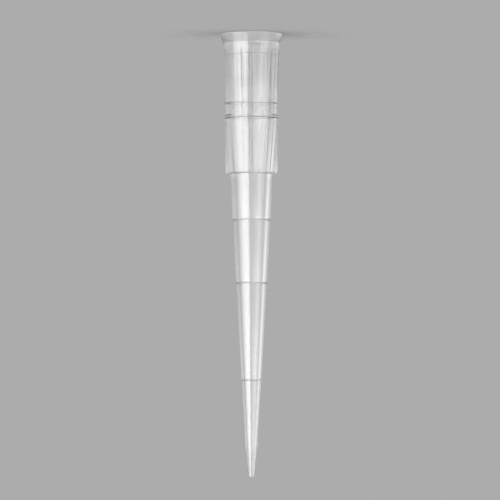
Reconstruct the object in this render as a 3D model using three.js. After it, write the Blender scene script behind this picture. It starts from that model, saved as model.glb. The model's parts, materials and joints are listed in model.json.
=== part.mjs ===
// A graduated pipette tip for pipettes of up to 200 microlitres, moulded in one piece from clear
// polypropylene. Millimetres, +Z up. The tip stands on its mouth: the rim face lies in z = 0 with
// the origin at its centre, and the orifice points up. A height is a distance from the rim face,
// except where its name says that it is counted from the orifice or the shoulder.

import * as THREE from 'three';

// ---- Driving dimensions ------------------------------------------------------------------------

const overallLength = 51;

// Mouth: a flared lip with a narrow flat face, and a funnel that leads the nozzle in.
const lipDiameter = 7.34;
const lipFaceWidth = 0.34;
const lipEdgeHeight = 0.1;
const lipFlareHeight = 1.07;
const lipEdgeRadius = 0.04;
const funnelHeight = 1.25;

// Collar: the band under the flare, which gets smaller in two very fine steps.
const collarDiameter = 6.57;
const bandDiameter = 6.486;
const upperStepHeight = 1.92;
const upperStepDepth = 0.015;
const lowerStepHeight = 2.38;
const lowerStepDepth = 0.022;
const stepLength = 0.03;

// Head: a short taper, an almost straight barrel and a slow taper down to the shoulder.
const headLength = 16.13;
const headTopDiameter = 6.396;
const barrelTopHeight = 5.2;
const barrelTopDiameter = 6.19;
const barrelEndHeight = 8.8;
const barrelEndDiameter = 6.16;
const shoulderDiameter = 5.96;
const shoulderEdgeRadius = 0.03;
const shoulderFilletRadius = 0.06;

// Cone: its taper changes a little at each bend. The volume marks are fine raised rings.
const coneRootDiameter = 4.87;
const coneBends = [
  { heightFromOrifice: 29.55, diameter: 4.374 },
  { heightFromOrifice: 22.3, diameter: 3.552 },
  { heightFromOrifice: 11.16, diameter: 2.278 },
];
const markedMicrolitres = [100, 50, 10];
const markWidth = 0.16;
const markHeight = 0.04;

// Nib: the steeper end of the cone, with a rounded orifice.
const nibLength = 3.5;
const nibRootDiameter = 1.4;
const nibRootRadius = 4;
const nibEndDiameter = 0.7;
const orificeDiameter = 0.44;
const orificeEdgeRadius = 0.05;

// Bore: a nozzle socket with a guide ring and a sealing ring, a throat that narrows through the
// shoulder, and a chamber down the cone. The chamber's size is given by the wall that it leaves.
const socketTopDiameter = 6.1;
const seatTopHeight = 4.8;
const seatTopDiameter = 5.68;
const seatEndHeight = 10;
const seatEndDiameter = 5.22;
const guideRing = { height: 8.05, width: 0.16, rise: -0.03 };
const sealRing = { height: 9.58, width: 0.42, rise: -0.06 };
const throatEndAboveShoulder = 0.37;
const throatEndWall = 0.55;
const chamberBendFromOrifice = 13;
const chamberBendWall = 0.355;

// Facets of the revolved solid.
const facetsAround = 64;
const facetsPerCorner = 3;
const facetsPerRing = 4;

// ---- Walls as radii at heights, from the mouth to the orifice ----------------------------------

const coneStations = [
  { height: headLength, radius: coneRootDiameter / 2 },
  ...coneBends.map((bend) => ({
    height: overallLength - bend.heightFromOrifice,
    radius: bend.diameter / 2,
  })),
  { height: overallLength - nibLength, radius: nibRootDiameter / 2 },
];

const socketStations = [
  { height: funnelHeight, radius: socketTopDiameter / 2 },
  { height: seatTopHeight, radius: seatTopDiameter / 2 },
  { height: seatEndHeight, radius: seatEndDiameter / 2 },
];

const throatEndHeight = headLength + throatEndAboveShoulder;
const chamberBendHeight = overallLength - chamberBendFromOrifice;
const chamberStations = [
  { height: throatEndHeight, radius: radiusAt(coneStations, throatEndHeight) - throatEndWall },
  { height: chamberBendHeight, radius: radiusAt(coneStations, chamberBendHeight) - chamberBendWall },
  { height: overallLength, radius: orificeDiameter / 2 },
];

// Radius of a wall at a height, on the straight line between the stations on both sides of it.
function radiusAt(stations, height) {
  const reached = stations.findIndex((station) => station.height >= height);
  const end = reached === -1 ? stations.length - 1 : Math.max(reached, 1);
  const from = stations[end - 1];
  const to = stations[end];
  const share = (height - from.height) / (to.height - from.height);
  return THREE.MathUtils.lerp(from.radius, to.radius, share);
}

// ---- Volume marks ------------------------------------------------------------------------------

// Volume in microlitres, which are cubic millimetres, of the bore between two stations.
function volumeBetween(from, to) {
  const meanSquare = (from.radius ** 2 + from.radius * to.radius + to.radius ** 2) / 3;
  return Math.PI * meanSquare * (from.height - to.height);
}

// Height that a liquid reaches in the chamber, which fills from the orifice back to the throat.
function filledHeight(volume) {
  let index = chamberStations.length - 1;
  let left = volume;
  while (index > 1 && left > volumeBetween(chamberStations[index], chamberStations[index - 1])) {
    left -= volumeBetween(chamberStations[index], chamberStations[index - 1]);
    index -= 1;
  }
  const from = chamberStations[index];
  const to = chamberStations[index - 1];
  const growth = (to.radius - from.radius) / (from.height - to.height);
  const reachedRadius = Math.cbrt(from.radius ** 3 + (3 * growth * left) / Math.PI);
  return from.height - (reachedRadius - from.radius) / growth;
}

const marks = markedMicrolitres.map((volume) => ({
  height: filledHeight(volume),
  width: markWidth,
  rise: markHeight,
}));

// ---- Outline helpers ---------------------------------------------------------------------------

// A corner of the section, sharp or rounded: X is its radius from the axis and Y its height.
function corner(radius, height, rounding = 0) {
  return { at: new THREE.Vector2(radius, height), rounding };
}

// How far the rings of a wall stand out of it at a height. A crown is half a wave.
function riseAt(rings, height) {
  const ring = rings.find((one) => Math.abs(height - one.height) < one.width / 2);
  return ring ? ring.rise * Math.cos((Math.PI * (height - ring.height)) / ring.width) : 0;
}

// Corners up a wall through its stations and over its fine rings. A ring with a negative rise
// stands towards the axis, as one inside the bore does.
function ringedWall(stations, rings) {
  const heights = stations.map((station) => station.height);
  for (const ring of rings) {
    for (let facet = 0; facet <= facetsPerRing; facet += 1) {
      heights.push(ring.height + (facet / facetsPerRing - 0.5) * ring.width);
    }
  }
  heights.sort((lower, upper) => lower - upper);
  return heights.map((height) => corner(radiusAt(stations, height) + riseAt(rings, height), height));
}

// The points that a corner adds to the outline: itself, or an arc tangent to both of its sides.
function cornerPoints(before, here, after) {
  if (here.rounding === 0) {
    return [here.at];
  }
  const back = before.at.clone().sub(here.at).normalize();
  const ahead = after.at.clone().sub(here.at).normalize();
  const halfAngle = Math.acos(back.dot(ahead)) / 2;
  const inward = back.clone().add(ahead).normalize();
  const centre = here.at.clone().addScaledVector(inward, here.rounding / Math.sin(halfAngle));
  const arcStart = here.at.clone().addScaledVector(back, here.rounding / Math.tan(halfAngle));
  const turn = Math.sign(ahead.cross(back)) * (Math.PI - 2 * halfAngle);
  const points = [];
  for (let facet = 0; facet <= facetsPerCorner; facet += 1) {
    points.push(arcStart.clone().rotateAround(centre, turn * (facet / facetsPerCorner)));
  }
  return points;
}

// A closed outline through all corners, which ends on its first point.
function closedOutline(corners) {
  const points = corners.flatMap((here, index) => {
    const before = corners.at(index - 1);
    const after = corners[(index + 1) % corners.length];
    return cornerPoints(before, here, after);
  });
  return [...points, points[0].clone()];
}

// ---- Section of the tip ------------------------------------------------------------------------

// Outer wall: lip, collar with its steps, head, shoulder, graduated cone and nib.
function outerCorners() {
  return [
    corner(lipDiameter / 2, 0, lipEdgeRadius),
    corner(lipDiameter / 2, lipEdgeHeight, lipEdgeRadius),
    corner(collarDiameter / 2, lipFlareHeight, lipEdgeRadius),
    corner(bandDiameter / 2, upperStepHeight),
    corner(bandDiameter / 2 - upperStepDepth, upperStepHeight + stepLength),
    corner(headTopDiameter / 2 + lowerStepDepth, lowerStepHeight),
    corner(headTopDiameter / 2, lowerStepHeight + stepLength),
    corner(barrelTopDiameter / 2, barrelTopHeight),
    corner(barrelEndDiameter / 2, barrelEndHeight),
    corner(shoulderDiameter / 2, headLength, shoulderEdgeRadius),
    corner(coneRootDiameter / 2, headLength, shoulderFilletRadius),
    ...ringedWall(coneStations, marks).slice(1, -1),
    corner(nibRootDiameter / 2, overallLength - nibLength, nibRootRadius),
    corner(nibEndDiameter / 2, overallLength, orificeEdgeRadius),
  ];
}

// Bore wall: funnel, socket with its two rings, throat, chamber and orifice.
function boreCorners() {
  return [
    corner(lipDiameter / 2 - lipFaceWidth, 0, lipEdgeRadius),
    ...ringedWall(socketStations, [guideRing, sealRing]),
    ...ringedWall(chamberStations, []).slice(0, -1),
    corner(orificeDiameter / 2, overallLength, orificeEdgeRadius),
  ];
}

// ---- Solid -------------------------------------------------------------------------------------

const clearPolypropylene = new THREE.MeshStandardMaterial({
  color: 0xe8ecee,
  roughness: 0.25,
  metalness: 0,
  transparent: true,
  opacity: 0.5,
});

// The outline runs up the outside and back down the bore, so that every face looks out of the wall.
const section = closedOutline([...outerCorners(), ...boreCorners().reverse()]);
const tipBody = new THREE.Mesh(new THREE.LatheGeometry(section, facetsAround), clearPolypropylene);
tipBody.name = 'tip_body';

// A lathe turns its outline about Y, and the tip stands along Z.
tipBody.rotation.x = Math.PI / 2;

const pipetteTip = new THREE.Group();
pipetteTip.add(tipBody);

export default pipetteTip;
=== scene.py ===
"""A graduated pipette tip, moulded in one piece from clear polypropylene.

The tip stands on its mouth with the orifice up, as its solid does. Its wall is drawn once as a
section, with a pen of vertices in the XZ plane, and turned about Z. Sizes are millimetres, and MM
turns them to metres where they meet Blender. A height is a distance from the rim face, except where
its name says that it is counted from the orifice.
"""

import json
import math

import bpy
from mathutils import Matrix, Quaternion, Vector


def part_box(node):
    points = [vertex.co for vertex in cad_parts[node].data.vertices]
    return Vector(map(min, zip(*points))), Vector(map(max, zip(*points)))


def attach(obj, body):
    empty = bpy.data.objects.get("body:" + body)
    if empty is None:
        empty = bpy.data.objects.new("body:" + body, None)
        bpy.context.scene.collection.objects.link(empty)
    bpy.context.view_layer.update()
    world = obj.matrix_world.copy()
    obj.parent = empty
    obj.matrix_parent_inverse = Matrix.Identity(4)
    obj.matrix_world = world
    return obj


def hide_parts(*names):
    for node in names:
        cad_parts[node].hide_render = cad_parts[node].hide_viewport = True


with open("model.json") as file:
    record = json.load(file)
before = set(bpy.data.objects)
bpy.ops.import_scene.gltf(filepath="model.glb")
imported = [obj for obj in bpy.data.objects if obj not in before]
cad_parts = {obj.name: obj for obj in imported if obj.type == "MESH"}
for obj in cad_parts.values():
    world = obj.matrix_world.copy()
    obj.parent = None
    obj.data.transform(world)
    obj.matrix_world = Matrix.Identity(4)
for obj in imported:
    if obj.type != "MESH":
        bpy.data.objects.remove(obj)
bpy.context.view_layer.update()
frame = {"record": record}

MM = 0.001

NODE = "tip_body"
BODY = "root"


# ---- Sizes taken from the frame ------------------------------------------------------------------

def mount_point(name):
    """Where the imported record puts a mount, in millimetres."""
    mount = next(m for m in frame["record"]["mounts"] if m["name"] == name)
    return Vector(mount["pos_m"]) / MM


LOWEST, HIGHEST = (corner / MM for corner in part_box(NODE))
LENGTH = HIGHEST.z
LIP_RADIUS = HIGHEST.x
HEAD_LENGTH = mount_point("rack_shoulder").z

# ---- Sizes of the wall ---------------------------------------------------------------------------

LIP_FACE = 0.34
LIP_EDGE_HEIGHT = 0.1
LIP_FLARE_HEIGHT = 1.07
LIP_ROUNDING = 0.04

COLLAR_RADIUS = 3.285
BAND_RADIUS = 3.243
UPPER_STEP_HEIGHT, UPPER_STEP_DEPTH = 1.92, 0.015
LOWER_STEP_HEIGHT, LOWER_STEP_DEPTH = 2.38, 0.022
# The solid's steps are a third as long. These are drawn longer, so that they show.
STEP_LENGTH = 0.09

HEAD_TOP_RADIUS = 3.198
BARREL_TOP_HEIGHT, BARREL_TOP_RADIUS = 5.2, 3.095
BARREL_END_HEIGHT, BARREL_END_RADIUS = 8.8, 3.08
SHOULDER_RADIUS = 2.98
SHOULDER_EDGE = 0.03
SHOULDER_FILLET = 0.06

# The cone's bends: (height from the orifice, radius). The marks are heights from the orifice too.
# They are where the solid has them, which works them out from the volume of its bore.
CONE_ROOT_RADIUS = 2.435
CONE_BENDS = ((29.55, 2.187), (22.3, 1.776), (11.16, 1.139))
MARKS = (29.567, 22.313, 11.167)
MARK_WIDTH, MARK_RISE = 0.16, 0.04

NIB_LENGTH = 3.5
NIB_ROOT_RADIUS, NIB_ROOT_ROUNDING = 0.7, 4.0
NIB_END_RADIUS = 0.35
ORIFICE_RADIUS = 0.22
ORIFICE_ROUNDING = 0.05

# Bore: (height, radius) down the socket and the chamber.
SOCKET = ((1.25, 3.05), (4.8, 2.84), (10.0, 2.61))
GUIDE_RING = (8.05, 0.16, 0.03)
SEAL_RING = (9.58, 0.42, 0.06)
CHAMBER = ((16.5, 1.868), (38.0, 0.889))

# A slight change of taper is eased over an arc of this radius, so that it shows as a bend. The
# funnel's foot and the socket's end turn more, over a smaller arc.
BEND_ROUNDING = 8.0
FOOT_ROUNDING = 1.0
RING_FILLET = 0.03
# A ring's crown is drawn a little tighter than the arc that would reach its feet.
CROWN_SHARE = 0.98

# Polish streaks in the socket. The middle of the head's wall, at its mouth and at its shoulder,
# tells the bore from the outside. Real streaks are a few hundredths of a millimetre wide. These are
# drawn coarser, so that they show.
WALL_MIDDLE = (3.4, 2.6)
STREAK_WIDTH = 0.25
STREAK_STRETCH = 400.0
STREAK_BAND = (0.57, 0.62)
STREAK_DETAIL, STREAK_ROUGHNESS = 2.0, 0.6
STREAK_START = (1.3, 2.6)
STREAK_DEPTH = 0.02
OUTER_STREAK_SHARE = 0.1
CLEAR = "#FFFFFF"
# The colour mixed in along the streaks is painted shade, darker than the clear plastic.
STREAK_PAINTED_SHADE = "#CCCCCC"

# Flow marks in the skin: their width round the wall in millimetres, how much longer they are, the
# band of the noise that they use and the roughness between which they lie.
FLOW_WIDTH = 2.5
FLOW_STRETCH = 4.0
FLOW_BAND = (0.35, 0.65)
FLOW_DETAIL = 2.0
SKIN_ROUGHNESS = (0.01, 0.035)

# Haze: the share of the light that the skin scatters, and its roughness for that share. The share
# isn't a measured one. It was chosen because it renders clean: 0.12 left the thin nib mottled.
HAZE_SHARE = 0.27
HAZE_ROUGHNESS = 0.28
REFRACTIVE_INDEX = 1.49

# The colour sockets of a Mix node.
MIX_A, MIX_B, MIX_RESULT = 6, 7, 2

SEGMENTS_AROUND = 256
TURN_PER_STEP = math.radians(6)
FEWEST_STEPS = 4
WELD_DISTANCE = 0.0001


# ---- Section of the wall -------------------------------------------------------------------------

def radius_at(stations, height):
    """Radius of a wall at a height, on the straight line between two (height, radius) stations."""
    for (low, low_radius), (high, high_radius) in zip(stations, stations[1:]):
        if height <= high:
            break
    share = (height - low) / (high - low)
    return low_radius + (high_radius - low_radius) * share


def corner(radius, height, rounding=0.0):
    """A corner of the section, in the XZ plane, with the radius that rounds it."""
    return Vector((radius, 0, height)), rounding


def ring(stations, height, width, rise):
    """Corners of a fine ring on a wall: its two feet and a crown that is one arc.

    The crown's corner is drawn at twice the rise, because its arc turns back halfway. A negative
    rise stands towards the axis.
    """
    half = width / 2
    slope = math.atan2(2 * abs(rise), half)
    side = math.hypot(half, 2 * rise)
    crown = (side - RING_FILLET * math.tan(slope / 2)) / math.tan(slope)
    low, high = height - half, height + half
    return [
        corner(radius_at(stations, low), low, RING_FILLET),
        corner(radius_at(stations, height) + 2 * rise, height, crown * CROWN_SHARE),
        corner(radius_at(stations, high), high, RING_FILLET),
    ]


def outer_corners():
    cone = [(HEAD_LENGTH, CONE_ROOT_RADIUS)]
    cone += [(LENGTH - from_orifice, radius) for from_orifice, radius in CONE_BENDS]
    cone += [(LENGTH - NIB_LENGTH, NIB_ROOT_RADIUS)]
    corners = [
        corner(LIP_RADIUS, 0, LIP_ROUNDING),
        corner(LIP_RADIUS, LIP_EDGE_HEIGHT, LIP_ROUNDING),
        corner(COLLAR_RADIUS, LIP_FLARE_HEIGHT, LIP_ROUNDING),
        corner(BAND_RADIUS, UPPER_STEP_HEIGHT, STEP_LENGTH / 2),
        corner(BAND_RADIUS - UPPER_STEP_DEPTH, UPPER_STEP_HEIGHT + STEP_LENGTH, STEP_LENGTH / 2),
        corner(HEAD_TOP_RADIUS + LOWER_STEP_DEPTH, LOWER_STEP_HEIGHT, STEP_LENGTH / 2),
        corner(HEAD_TOP_RADIUS, LOWER_STEP_HEIGHT + STEP_LENGTH, STEP_LENGTH / 2),
        corner(BARREL_TOP_RADIUS, BARREL_TOP_HEIGHT, BEND_ROUNDING),
        corner(BARREL_END_RADIUS, BARREL_END_HEIGHT, BEND_ROUNDING),
        corner(SHOULDER_RADIUS, HEAD_LENGTH, SHOULDER_EDGE),
        corner(CONE_ROOT_RADIUS, HEAD_LENGTH, SHOULDER_FILLET),
    ]
    for from_orifice in MARKS:
        corners += ring(cone, LENGTH - from_orifice, MARK_WIDTH, MARK_RISE)
    corners += [
        corner(NIB_ROOT_RADIUS, LENGTH - NIB_LENGTH, NIB_ROOT_ROUNDING),
        corner(NIB_END_RADIUS, LENGTH, ORIFICE_ROUNDING),
    ]
    return corners


def bore_corners():
    (mouth, mouth_radius), (seat, seat_radius), (seat_end, seat_end_radius) = SOCKET
    corners = [
        corner(LIP_RADIUS - LIP_FACE, 0, LIP_ROUNDING),
        corner(mouth_radius, mouth, FOOT_ROUNDING),
        corner(seat_radius, seat, BEND_ROUNDING),
    ]
    for height, width, depth in (GUIDE_RING, SEAL_RING):
        corners += ring(SOCKET, height, width, -depth)
    corners += [corner(seat_end_radius, seat_end, FOOT_ROUNDING)]
    corners += [corner(radius, height, BEND_ROUNDING) for height, radius in CHAMBER]
    corners += [corner(ORIFICE_RADIUS, LENGTH, ORIFICE_ROUNDING)]
    return corners


# ---- Modelling -----------------------------------------------------------------------------------

def draw_to(pen, point):
    """Extrudes the pen's vertex to a point and returns the point."""
    bpy.ops.mesh.extrude_vertices_move(TRANSFORM_OT_translate={"value": (point - pen) * MM})
    return point


def draw_corner(pen, before, here, after, rounding):
    """Draws up to a corner and round its arc, and returns where the pen ends."""
    back = (before - here).normalized()
    ahead = (after - here).normalized()
    half_angle = back.angle(ahead) / 2
    run_in = rounding / math.tan(half_angle)
    pen = draw_to(pen, here + back * run_in)
    centre = here + (back + ahead).normalized() * (rounding / math.sin(half_angle))
    turn = math.pi - 2 * half_angle
    steps = max(FEWEST_STEPS, math.ceil(turn / TURN_PER_STEP))
    axis = (here + ahead * run_in - centre).cross(pen - centre).normalized()
    bpy.ops.mesh.spin(steps=steps, angle=turn, center=centre * MM, axis=axis)
    return here + ahead * run_in


def draw_section(corners):
    """A closed wire through all corners, as the only mesh of a new object."""
    bpy.ops.object.select_all(action="DESELECT")
    bpy.ops.mesh.primitive_plane_add(size=MM)
    piece = bpy.context.active_object
    bpy.ops.object.mode_set(mode="EDIT")
    bpy.ops.mesh.select_all(action="SELECT")
    bpy.ops.mesh.merge(type="CENTER")
    pen = (corners[-1][0] + corners[0][0]) / 2
    start = pen
    bpy.ops.transform.translate(value=pen * MM)
    for index, (here, rounding) in enumerate(corners):
        before = corners[index - 1][0]
        after = corners[(index + 1) % len(corners)][0]
        pen = draw_corner(pen, before, here, after, rounding)
    draw_to(pen, start)
    return piece


def turn_section(piece):
    """Turns the drawn wire about Z into the finished wall."""
    bpy.ops.mesh.select_all(action="SELECT")
    bpy.ops.mesh.remove_doubles(threshold=WELD_DISTANCE * MM)
    bpy.ops.mesh.spin(
        steps=SEGMENTS_AROUND, angle=2 * math.pi, center=(0, 0, 0), axis=(0, 0, 1)
    )
    bpy.ops.mesh.select_all(action="SELECT")
    bpy.ops.mesh.remove_doubles(threshold=WELD_DISTANCE * MM)
    bpy.ops.mesh.normals_make_consistent(inside=False)
    bpy.ops.object.mode_set(mode="OBJECT")
    bpy.ops.object.shade_smooth()
    bpy.ops.object.modifier_add(type="WEIGHTED_NORMAL")
    bpy.ops.object.modifier_apply(modifier=piece.modifiers[-1].name)


def make_tip():
    piece = draw_section(outer_corners() + bore_corners()[::-1])
    piece.name = piece.data.name = "clear_tip"
    turn_section(piece)
    return piece


# ---- Materials -----------------------------------------------------------------------------------

def linear(hex_colour):
    """An sRGB hex colour as linear RGBA."""
    channels = [int(hex_colour[i:i + 2], 16) / 255 for i in (1, 3, 5)]
    return [c / 12.92 if c <= 0.04045 else ((c + 0.055) / 1.055) ** 2.4 for c in channels] + [1.0]


def add_node(tree, kind, settings=None, inputs=None):
    """A node with its settings. An input is a value, or an output that is linked to it."""
    node = tree.nodes.new(kind)
    for name, value in (settings or {}).items():
        setattr(node, name, value)
    for key, value in (inputs or {}).items():
        socket = node.inputs[key]
        if isinstance(value, bpy.types.NodeSocket):
            tree.links.new(value, socket)
        else:
            socket.default_value = value
    return node


def new_material(name):
    material = bpy.data.materials.new(name)
    material.use_nodes = True
    material.node_tree.nodes.clear()
    return material


def wall_place(tree):
    """Where a point of the wall lies, in millimetres: height, place across the axis and radius."""
    position = add_node(tree, "ShaderNodeVectorMath", {"operation": "SCALE"}, {
        0: add_node(tree, "ShaderNodeTexCoord").outputs["Object"], "Scale": 1 / MM,
    }).outputs["Vector"]
    height = add_node(tree, "ShaderNodeSeparateXYZ", inputs={0: position}).outputs["Z"]
    across = add_node(tree, "ShaderNodeVectorMath", {"operation": "MULTIPLY"}, {
        0: position, 1: (1, 1, 0),
    }).outputs["Vector"]
    radius = add_node(tree, "ShaderNodeVectorMath", {"operation": "LENGTH"}, {
        0: across,
    }).outputs["Value"]
    return height, across, radius


def stretched_place(tree, height, across, radius, stretch):
    """A point's place on a cylinder, with its height divided: a pattern then runs with the axis."""
    facing = add_node(tree, "ShaderNodeVectorMath", {"operation": "NORMALIZE"}, {0: across})
    on_cylinder = add_node(tree, "ShaderNodeVectorMath", {"operation": "SCALE"}, {
        0: facing.outputs["Vector"], "Scale": radius,
    })
    along = add_node(tree, "ShaderNodeCombineXYZ", inputs={
        "Z": add_node(tree, "ShaderNodeMath", {"operation": "DIVIDE"}, {
            0: height, 1: stretch,
        }).outputs[0],
    })
    return add_node(tree, "ShaderNodeVectorMath", {"operation": "ADD"}, {
        0: on_cylinder.outputs["Vector"], 1: along.outputs[0],
    }).outputs["Vector"]


def streak_share(tree, height, radius):
    """Share of the streaks' depth at a point.

    It is 1 in the socket, small on the head's outside, and 0 in the funnel and on the cone.
    """
    wall_middle = add_node(tree, "ShaderNodeMapRange", inputs={
        "Value": height, "From Min": 0.0, "From Max": HEAD_LENGTH,
        "To Min": WALL_MIDDLE[0], "To Max": WALL_MIDDLE[1],
    })
    on_bore = add_node(tree, "ShaderNodeMath", {"operation": "LESS_THAN"}, {
        0: radius, 1: wall_middle.outputs["Result"],
    })
    of_wall = add_node(tree, "ShaderNodeMapRange", inputs={
        "Value": on_bore.outputs[0], "To Min": OUTER_STREAK_SHARE, "To Max": 1.0,
    })
    run_in = add_node(tree, "ShaderNodeMapRange", {"interpolation_type": "SMOOTHSTEP"}, {
        "Value": height, "From Min": STREAK_START[0], "From Max": STREAK_START[1],
    })
    in_head = add_node(tree, "ShaderNodeMath", {"operation": "LESS_THAN"}, {
        0: height, 1: HEAD_LENGTH,
    })
    below_funnel = add_node(tree, "ShaderNodeMath", {"operation": "MULTIPLY"}, {
        0: run_in.outputs["Result"], 1: in_head.outputs[0],
    })
    return add_node(tree, "ShaderNodeMath", {"operation": "MULTIPLY"}, {
        0: of_wall.outputs["Result"], 1: below_funnel.outputs[0],
    }).outputs[0]


def polish_streaks(tree, height, across, radius):
    """Depth of the streaks that the polished core leaves, from 0 to 1."""
    place = stretched_place(tree, height, across, SOCKET[1][1], STREAK_STRETCH)
    noise = add_node(tree, "ShaderNodeTexNoise", inputs={
        "Vector": place, "Scale": 1 / STREAK_WIDTH,
        "Detail": STREAK_DETAIL, "Roughness": STREAK_ROUGHNESS,
    })
    grooves = add_node(tree, "ShaderNodeMapRange", {"interpolation_type": "SMOOTHSTEP"}, {
        "Value": noise.outputs["Fac"], "From Min": STREAK_BAND[0], "From Max": STREAK_BAND[1],
    })
    return add_node(tree, "ShaderNodeMath", {"operation": "MULTIPLY"}, {
        0: grooves.outputs["Result"], 1: streak_share(tree, height, radius),
    }).outputs[0]


def flow_roughness(tree, height, across):
    """Roughness of the skin, which is a little higher where the melt flowed last."""
    place = stretched_place(tree, height, across, BARREL_TOP_RADIUS, FLOW_STRETCH)
    noise = add_node(tree, "ShaderNodeTexNoise", inputs={
        "Vector": place, "Scale": 1 / FLOW_WIDTH, "Detail": FLOW_DETAIL,
    })
    return add_node(tree, "ShaderNodeMapRange", inputs={
        "Value": noise.outputs["Fac"], "From Min": FLOW_BAND[0], "From Max": FLOW_BAND[1],
        "To Min": SKIN_ROUGHNESS[0], "To Max": SKIN_ROUGHNESS[1],
    }).outputs["Result"]


def clear_wall(tree, colour, normal, roughness):
    return add_node(tree, "ShaderNodeBsdfPrincipled", inputs={
        "Base Color": colour, "Roughness": roughness, "IOR": REFRACTIVE_INDEX,
        "Transmission Weight": 1.0, "Normal": normal,
    }).outputs["BSDF"]


def clear_polypropylene():
    """Natural polypropylene, injection moulded against a polished core and cavity.

    It is clear, but its skin scatters a part of the light, which gives it a soft look. The core was
    polished lengthwise, so the socket shows streaks that run with the axis, and the outside has
    them much fainter. A streak is a shallow groove, and its slightly darker colour is painted
    shade.
    """
    material = new_material("clear_moulded_polypropylene")
    tree = material.node_tree
    height, across, radius = wall_place(tree)
    streaks = polish_streaks(tree, height, across, radius)
    normal = add_node(tree, "ShaderNodeBump", inputs={
        "Height": streaks, "Distance": STREAK_DEPTH * MM,
    }).outputs["Normal"]
    # The streaks darken the base colour: painted shade along the grooves.
    colour = add_node(tree, "ShaderNodeMix", {"data_type": "RGBA"}, {
        "Factor": streaks, MIX_A: linear(CLEAR), MIX_B: linear(STREAK_PAINTED_SHADE),
    }).outputs[MIX_RESULT]
    wall = add_node(tree, "ShaderNodeMixShader", inputs={
        0: HAZE_SHARE,
        1: clear_wall(tree, colour, normal, flow_roughness(tree, height, across)),
        2: clear_wall(tree, colour, normal, HAZE_ROUGHNESS),
    })
    add_node(tree, "ShaderNodeOutputMaterial", inputs={"Surface": wall.outputs[0]})
    return material


# ---- Stage ---------------------------------------------------------------------------------------

# The floor lies just under the rim. Between two distances from the axis it fades into the backdrop.
BACKGROUND = "#ACACAC"
AMBIENT = 0.15
FLOOR_RADIUS = 500.0
FLOOR_SIDES = 96
FLOOR_DROP = 0.02
FLOOR_FADE = (5.0, 16.0)

# Share of a lamp's height over which it fades in from each of its upper and lower edges, and how
# far the lamps stand from the tip.
LAMP_FADE = 0.33
LAMP_DISTANCE = 600.0


def shown_to_camera_and_glass(tree):
    """1 for a ray that the camera, a reflection or a transmission sends out, 0 for the rest."""
    path = add_node(tree, "ShaderNodeLightPath")
    camera_or_glossy = add_node(tree, "ShaderNodeMath", {"operation": "MAXIMUM"}, {
        0: path.outputs["Is Camera Ray"], 1: path.outputs["Is Glossy Ray"],
    })
    seen = add_node(tree, "ShaderNodeMath", {"operation": "MAXIMUM"}, {
        0: camera_or_glossy.outputs[0], 1: path.outputs["Is Transmission Ray"],
    })
    return seen.outputs[0]


def make_world():
    world = bpy.data.worlds.new("pale_studio")
    world.use_nodes = True
    tree = world.node_tree
    tree.nodes.clear()
    backdrop = add_node(tree, "ShaderNodeBackground", inputs={"Color": linear(BACKGROUND)})
    fill = add_node(tree, "ShaderNodeBackground", inputs={
        "Strength": AMBIENT, "Color": (1, 1, 1, 1),
    })
    both = add_node(tree, "ShaderNodeMixShader", inputs={
        0: shown_to_camera_and_glass(tree), 1: fill.outputs[0], 2: backdrop.outputs[0],
    })
    add_node(tree, "ShaderNodeOutputWorld", inputs={"Surface": both.outputs[0]})
    bpy.context.scene.world = world


def floor_material():
    material = new_material("matt_studio_floor")
    tree = material.node_tree
    position = add_node(tree, "ShaderNodeTexCoord").outputs["Object"]
    distance = add_node(tree, "ShaderNodeVectorMath", {"operation": "LENGTH"}, {0: position})
    fade = add_node(tree, "ShaderNodeMapRange", {"interpolation_type": "SMOOTHSTEP"}, {
        "Value": distance.outputs["Value"],
        "From Min": FLOOR_FADE[0] * MM, "From Max": FLOOR_FADE[1] * MM,
    })
    matt = add_node(tree, "ShaderNodeBsdfDiffuse", inputs={"Color": linear(BACKGROUND)})
    clear = add_node(tree, "ShaderNodeBsdfTransparent")
    both = add_node(tree, "ShaderNodeMixShader", inputs={
        0: fade.outputs["Result"], 1: matt.outputs[0], 2: clear.outputs[0],
    })
    add_node(tree, "ShaderNodeOutputMaterial", inputs={"Surface": both.outputs[0]})
    return material


def make_floor():
    bpy.ops.object.select_all(action="DESELECT")
    bpy.ops.mesh.primitive_circle_add(
        vertices=FLOOR_SIDES, radius=FLOOR_RADIUS * MM, fill_type="NGON",
        location=(0, 0, -FLOOR_DROP * MM),
    )
    floor = bpy.context.active_object
    floor.name = "floor"
    bpy.ops.object.transform_apply(location=True, rotation=True, scale=True)
    floor.data.materials.append(floor_material())
    floor.visible_transmission = False


def feather(lamp):
    """Lets a lamp fade towards its upper and lower edge, as one behind a cloth front does."""
    lamp.use_nodes = True
    tree = lamp.node_tree
    tree.nodes.clear()
    across_front = add_node(tree, "ShaderNodeSeparateXYZ", inputs={
        "Vector": add_node(tree, "ShaderNodeNewGeometry").outputs["Parametric"],
    })
    from_edge = add_node(tree, "ShaderNodeMath", {"operation": "PINGPONG"}, {
        0: across_front.outputs["Y"], 1: 0.5,
    })
    strength = add_node(tree, "ShaderNodeMapRange", {"interpolation_type": "SMOOTHSTEP"}, {
        "Value": from_edge.outputs[0], "From Max": LAMP_FADE,
    })
    front = add_node(tree, "ShaderNodeEmission", inputs={"Strength": strength.outputs["Result"]})
    add_node(tree, "ShaderNodeOutputLight", inputs={"Surface": front.outputs[0]})


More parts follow.
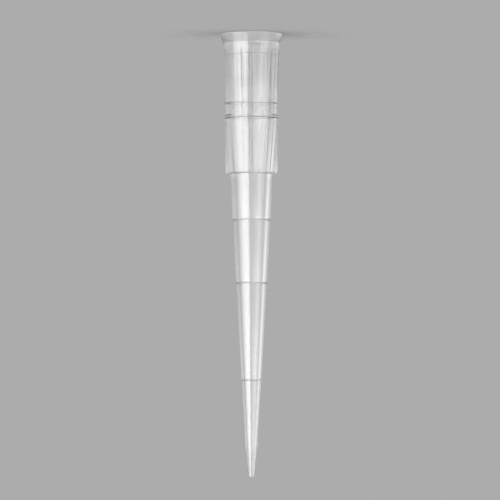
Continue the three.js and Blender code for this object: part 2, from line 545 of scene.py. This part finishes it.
def softbox(name, azimuth, width, height, radiance, elevation, seen=True):
    """A soft lamp aimed at the tip.

    Azimuth is in degrees from the camera's side towards +X, and width and height are the degrees
    that the lamp fills, seen from the tip. A lamp that isn't seen shows in no wall and is there for
    the floor.
    """
    centre = Vector((0, 0, LENGTH / 2))
    around = Matrix.Rotation(math.radians(azimuth), 3, "Z")
    up = Matrix.Rotation(-math.radians(elevation), 3, "X")
    towards = around @ (up @ Vector((0, -1, 0)))
    lamp = bpy.data.lights.new(name, "AREA")
    lamp.shape = "RECTANGLE"
    lamp.size = 2 * LAMP_DISTANCE * math.tan(math.radians(width) / 2) * MM
    lamp.size_y = 2 * LAMP_DISTANCE * math.tan(math.radians(height) / 2) * MM
    lamp.energy = radiance * math.pi * lamp.size * lamp.size_y
    feather(lamp)
    holder = bpy.data.objects.new(name, lamp)
    bpy.context.scene.collection.objects.link(holder)
    holder.location = (centre + towards * LAMP_DISTANCE) * MM
    holder.rotation_mode = "QUATERNION"
    holder.rotation_quaternion = (-towards).to_track_quat("-Z", "Y")
    holder.visible_camera = False
    holder.visible_glossy = holder.visible_transmission = seen


def make_lights():
    softbox("left_softbox", azimuth=38, width=44, height=36, radiance=5.6, elevation=6)
    softbox("left_strip", azimuth=70, width=20, height=36, radiance=3.8, elevation=6)
    softbox("right_softbox", azimuth=-55, width=34, height=36, radiance=1.8, elevation=6)
    softbox("rear_strip", azimuth=-127, width=44, height=40, radiance=0.4, elevation=6)
    softbox("back_panel", azimuth=184, width=116, height=54, radiance=0.26, elevation=12)
    softbox("top_softbox", azimuth=0, width=70, height=70, radiance=2.7, elevation=90, seen=False)


# Camera: far away and a little above the tip's middle, rolled half a turn, so that the tip hangs
# with its orifice down as it does on a pipette.
CAMERA_DISTANCE = 800.0
CAMERA_ELEVATION = 2.9
VIEW_WIDTH = 57.45
AIM = Vector((0.17, 0, LENGTH / 2 - 0.59))
SENSOR_WIDTH = 36.0
CLIP_START, CLIP_END = 100.0, 20000.0


def make_camera():
    camera = bpy.data.cameras.new("camera")
    camera.sensor_width = SENSOR_WIDTH
    camera.lens = SENSOR_WIDTH * CAMERA_DISTANCE / VIEW_WIDTH
    camera.clip_start = CLIP_START * MM
    camera.clip_end = CLIP_END * MM
    holder = bpy.data.objects.new("camera", camera)
    bpy.context.scene.collection.objects.link(holder)
    elevation = math.radians(CAMERA_ELEVATION)
    offset = Vector((0, -math.cos(elevation), math.sin(elevation))) * CAMERA_DISTANCE
    place = Vector((0, 0, LENGTH / 2)) + offset
    upright = (AIM - place).to_track_quat("-Z", "Y")
    holder.location = place * MM
    holder.rotation_mode = "QUATERNION"
    holder.rotation_quaternion = upright @ Quaternion((0, 0, 1), math.pi)
    bpy.context.scene.camera = holder


# ---- Scene ---------------------------------------------------------------------------------------

tip = make_tip()
tip.data.materials.append(clear_polypropylene())
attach(tip, BODY)
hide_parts(NODE)

make_world()
make_floor()
make_lights()
make_camera()
bpy.context.scene.view_settings.view_transform = "Standard"
